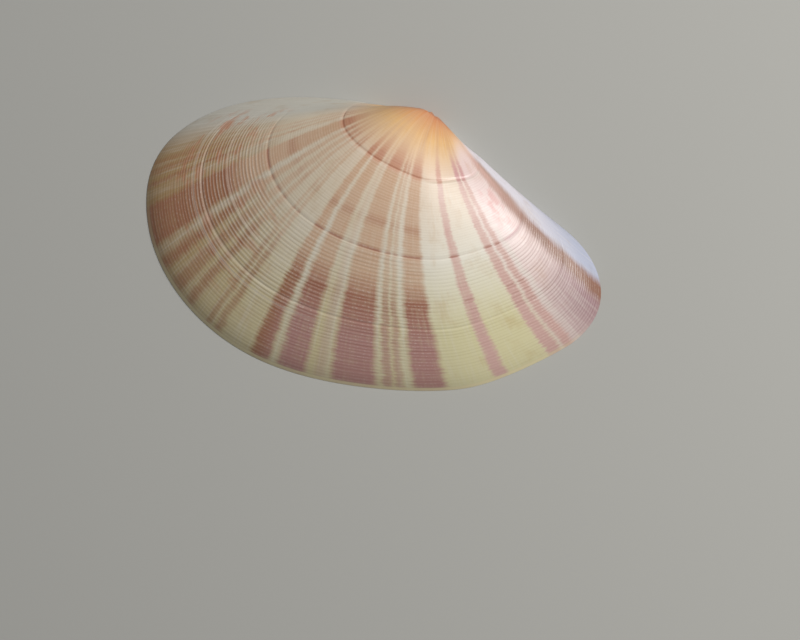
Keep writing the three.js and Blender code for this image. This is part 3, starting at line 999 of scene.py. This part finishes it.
def paint_ridges(work, colour, rays):
    """Each ridge gets a painted highlight on its crest, with pale dashes of its own colour, and painted
    shade in its groove; some crests are white.
    """
    tree, around, growth = work.tree, work.around, work.growth
    phase = ridge_phase(tree, growth)
    number = calc(tree, "FLOOR", phase)
    turn = phase - number
    quiet = work.banded(around, 0.305, 0.058, 0.022)
    busy = work.banded(around, 0.205, 0.030, 0.014) * ease(tree, growth, 0.5, 0.6)
    room = attribute(tree, "room")
    # Painted ridge shading: a highlight on the crests and shade in the grooves
    ridge_shading = level(tree, growth, RIDGE_SHADING_BY_GROWTH) * room * (1.0 - quiet * 0.45 + busy * 0.6)
    crest = work.banded(turn, 0.5, 0.18, 0.16)
    groove = 1.0 - work.banded(turn, 0.5, 0.38, 0.11)
    uneven = work.streaked(13.0, 1.37, 2.0, 0.6, number)
    dashes = ease(tree, work.streaked(380.0, 160.0, 3.0, 0.7), 0.48, 0.66)
    colour = blend(tree, crest * ridge_shading * (0.08 + dashes * (0.12 + rays * 0.22)), colour, CREST_WHITE_AND_HIGHLIGHT)
    dark = ease(tree, uneven, 0.30, 0.70, 0.02, 0.42)
    colour = blend(tree, groove * ridge_shading * dark, colour, GROOVE_SHADE, "MULTIPLY")

    front_zone = ease(tree, around, 0.50, 0.66) * ease(tree, around, 0.86, 0.80)
    front_zone = front_zone * ease(tree, growth, 0.56, 0.61) * ease(tree, growth, 0.86, 0.80)
    white_crests = work.banded(turn, 0.5, 0.14, 0.13) * front_zone * ease(tree, uneven, 0.30, 0.62)
    lines = work.strongest(growth, WHITE_LINES) * ease(tree, around, 0.44, 0.60)
    lines = lines * ease(tree, around, 0.86, 0.81)
    white = calc(tree, "MAXIMUM", white_crests * 0.32, lines * (0.15 + uneven * 0.4))
    return blend(tree, white, colour, LINE_WHITE)


def make_outside(band, streaks):
    work = Paintwork("striped shell", band, streaks)
    tree, surface = work.tree, work.surface

    # Ray edges waver slowly and feather from ridge to ridge
    slow = work.streaked(14.0, 18.0, 2.0)
    quick = work.streaked(60.0, 170.0, 2.0)
    wavered = work.around + (slow - 0.5) * 0.007 + (quick - 0.5) * 0.009
    rays = work.strongest(wavered, RAYS, ray_blur(work))
    breaks = work.streaked(26.0, 42.0, 3.0, 0.6)

    colour = paint_ground(work, wavered)
    colour = paint_rays(work, colour, wavered, rays, breaks)
    colour = paint_rest_lines(work, colour, rays, breaks)
    colour = paint_ridges(work, colour, rays)
    feed(tree, surface.inputs["Base Color"], colour)
    feed(tree, surface.inputs["Roughness"], 0.30 + work.streaked(60.0, 85.0, 3.0) * 0.16)
    surface.inputs["Specular IOR Level"].default_value = 0.5
    work.set_bump(work.streaked(300.0, 340.0, 3.0, 0.6), 0.2, 0.03)
    return work.material


def on_oval(work, middle_around, middle_growth, reach_around, reach_growth):
    """Distance from a place on the lining, 1 on the oval about it."""
    across = (work.around - middle_around) / reach_around
    along = (work.growth - middle_growth) / reach_growth
    return calc(work.tree, "SQRT", across * across + along * along)


def make_inside(band, streaks):
    work = Paintwork("smooth lining", band, streaks)
    tree, surface, around, growth = work.tree, work.surface, work.around, work.growth

    # Peach in the deep part, white towards the rim, with a ghost of the wider rays near it
    cloud = work.streaked(9.0, 6.0, 3.0)
    colour = ramp(tree, growth + (cloud - 0.5) * 0.16, LINING_BY_GROWTH)
    wide_rays = [ray for ray in RAYS if ray[1] > GHOST_HALF_WIDTH]
    ghost = work.strongest(around, wide_rays, 2.5)
    reach = ease(tree, growth, 0.55, 0.90) * ease(tree, growth, 1.0, 0.985, 0.3, 1.0)
    colour = blend(tree, ghost * reach * 0.42, colour, RAY_GHOST)

    # Two muscle scars, and the line of the mantle with its deep bay behind
    edge_noise = (work.streaked(40.0, 40.0, 2.0) - 0.5) * 0.16
    front_scar = on_oval(work, *FRONT_SCAR) + edge_noise
    hind_scar = on_oval(work, *HIND_SCAR) + edge_noise
    scar = calc(tree, "MINIMUM", front_scar, hind_scar)
    on_scar = ease(tree, scar, 1.05, 0.92)
    scar_edge = work.banded(scar, 1.0, 0.03, 0.07)
    bay = work.banded(on_oval(work, *MANTLE_BAY) + edge_noise * 0.2, 1.0, 0.010, 0.022)
    bay = bay * ease(tree, growth, 0.81, 0.77)
    mantle = work.banded(growth + edge_noise * 0.02, MANTLE_STAGE, 0.0035, 0.005)
    mantle = mantle * ease(tree, around, 0.21, 0.26) * ease(tree, around, 0.79, 0.76)
    line = calc(tree, "MAXIMUM", bay, mantle)
    colour = blend(tree, on_scar * 0.30, colour, SCAR_TINT)
    colour = blend(tree, calc(tree, "MAXIMUM", line * 0.45, scar_edge * 0.4), colour, SCAR_LINE)
    plate = attribute(tree, "plate")
    colour = blend(tree, plate, colour, PLATE_CREAM)

    feed(tree, surface.inputs["Base Color"], colour)
    feed(tree, surface.inputs["Roughness"], 0.20 + cloud * 0.12 - on_scar * 0.10)
    surface.inputs["Coat Weight"].default_value = 0.35
    surface.inputs["Coat Roughness"].default_value = 0.08
    height = work.streaked(60.0, 110.0, 3.0) * 0.25 - line * 0.5 - scar_edge * 0.5
    work.set_bump(height * (1.0 - plate), 0.3, 0.06)
    return work.material


# Studio

VIEW_TURN = 10.5
VIEW_CENTRE = (5.07, -8.93)
VIEW_DISTANCE = 0.6
VIEW_WIDTH = 0.1029
SENSOR_WIDTH = 36.0
FLOOR_GREY = srgb(180, 179, 173)
FLOOR_HALF = 1.5
FLOOR_GAP = 0.05


def make_floor():
    mesh = bpy.data.meshes.new("floor")
    half = FLOOR_HALF
    mesh.from_pydata([(-half, -half, 0), (half, -half, 0), (half, half, 0), (-half, half, 0)], [],
                     [(0, 1, 2, 3)])
    floor = link("floor", mesh)
    floor.location = (0.0, 0.0, -FLOOR_GAP * MM)
    material, tree, surface = new_material("pale floor")
    surface.inputs["Base Color"].default_value = FLOOR_GREY
    surface.inputs["Roughness"].default_value = 0.8
    mesh.materials.append(material)


def soft_light(name, bearing, height, distance, size, power, colour):
    """Round soft light aimed at the shell; bearing runs from the right of the view, in degrees."""
    data = bpy.data.lights.new(name, "AREA")
    data.shape = "DISK"
    data.size = size
    data.energy = power
    data.color = colour
    light = link(name, data)
    turned, raised = math.radians(bearing + VIEW_TURN), math.radians(height)
    flat = math.cos(raised)
    aim = Vector((flat * math.cos(turned), flat * math.sin(turned), math.sin(raised)))
    light.location = aim * distance
    light.rotation_euler = aim.to_track_quat("Z", "Y").to_euler()


def make_camera():
    """Straight above, turned a little about the vertical."""
    data = bpy.data.cameras.new("camera")
    data.sensor_width = SENSOR_WIDTH
    data.lens = SENSOR_WIDTH * VIEW_DISTANCE / VIEW_WIDTH
    data.clip_start = 0.01
    camera = link("camera", data)
    camera.location = (VIEW_CENTRE[0] * MM, VIEW_CENTRE[1] * MM, VIEW_DISTANCE)
    camera.rotation_euler = (0.0, 0.0, math.radians(VIEW_TURN))
    bpy.context.scene.camera = camera


def make_lights():
    world = bpy.data.worlds.new("studio")
    world.use_nodes = True
    background = world.node_tree.nodes["Background"]
    background.inputs["Color"].default_value = (0.93, 0.96, 1.0, 1.0)
    background.inputs["Strength"].default_value = 0.16
    bpy.context.scene.world = world
    soft_light("main light", 18.0, 46.0, 0.5, 0.16, 2.05, (1.0, 0.985, 0.96))
    soft_light("fill light", 75.0, 60.0, 0.8, 0.5, 0.5, (0.85, 0.88, 1.0))


bpy.context.scene.view_settings.view_transform = "Standard"
make_camera()
band = make_band_group()
streaks = make_streak_group()
outside = make_outside(band, streaks)
inside = make_inside(band, streaks)
valve = grow_valve(outside, inside)
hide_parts("valve")
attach(valve, "root")
make_floor()
make_lights()
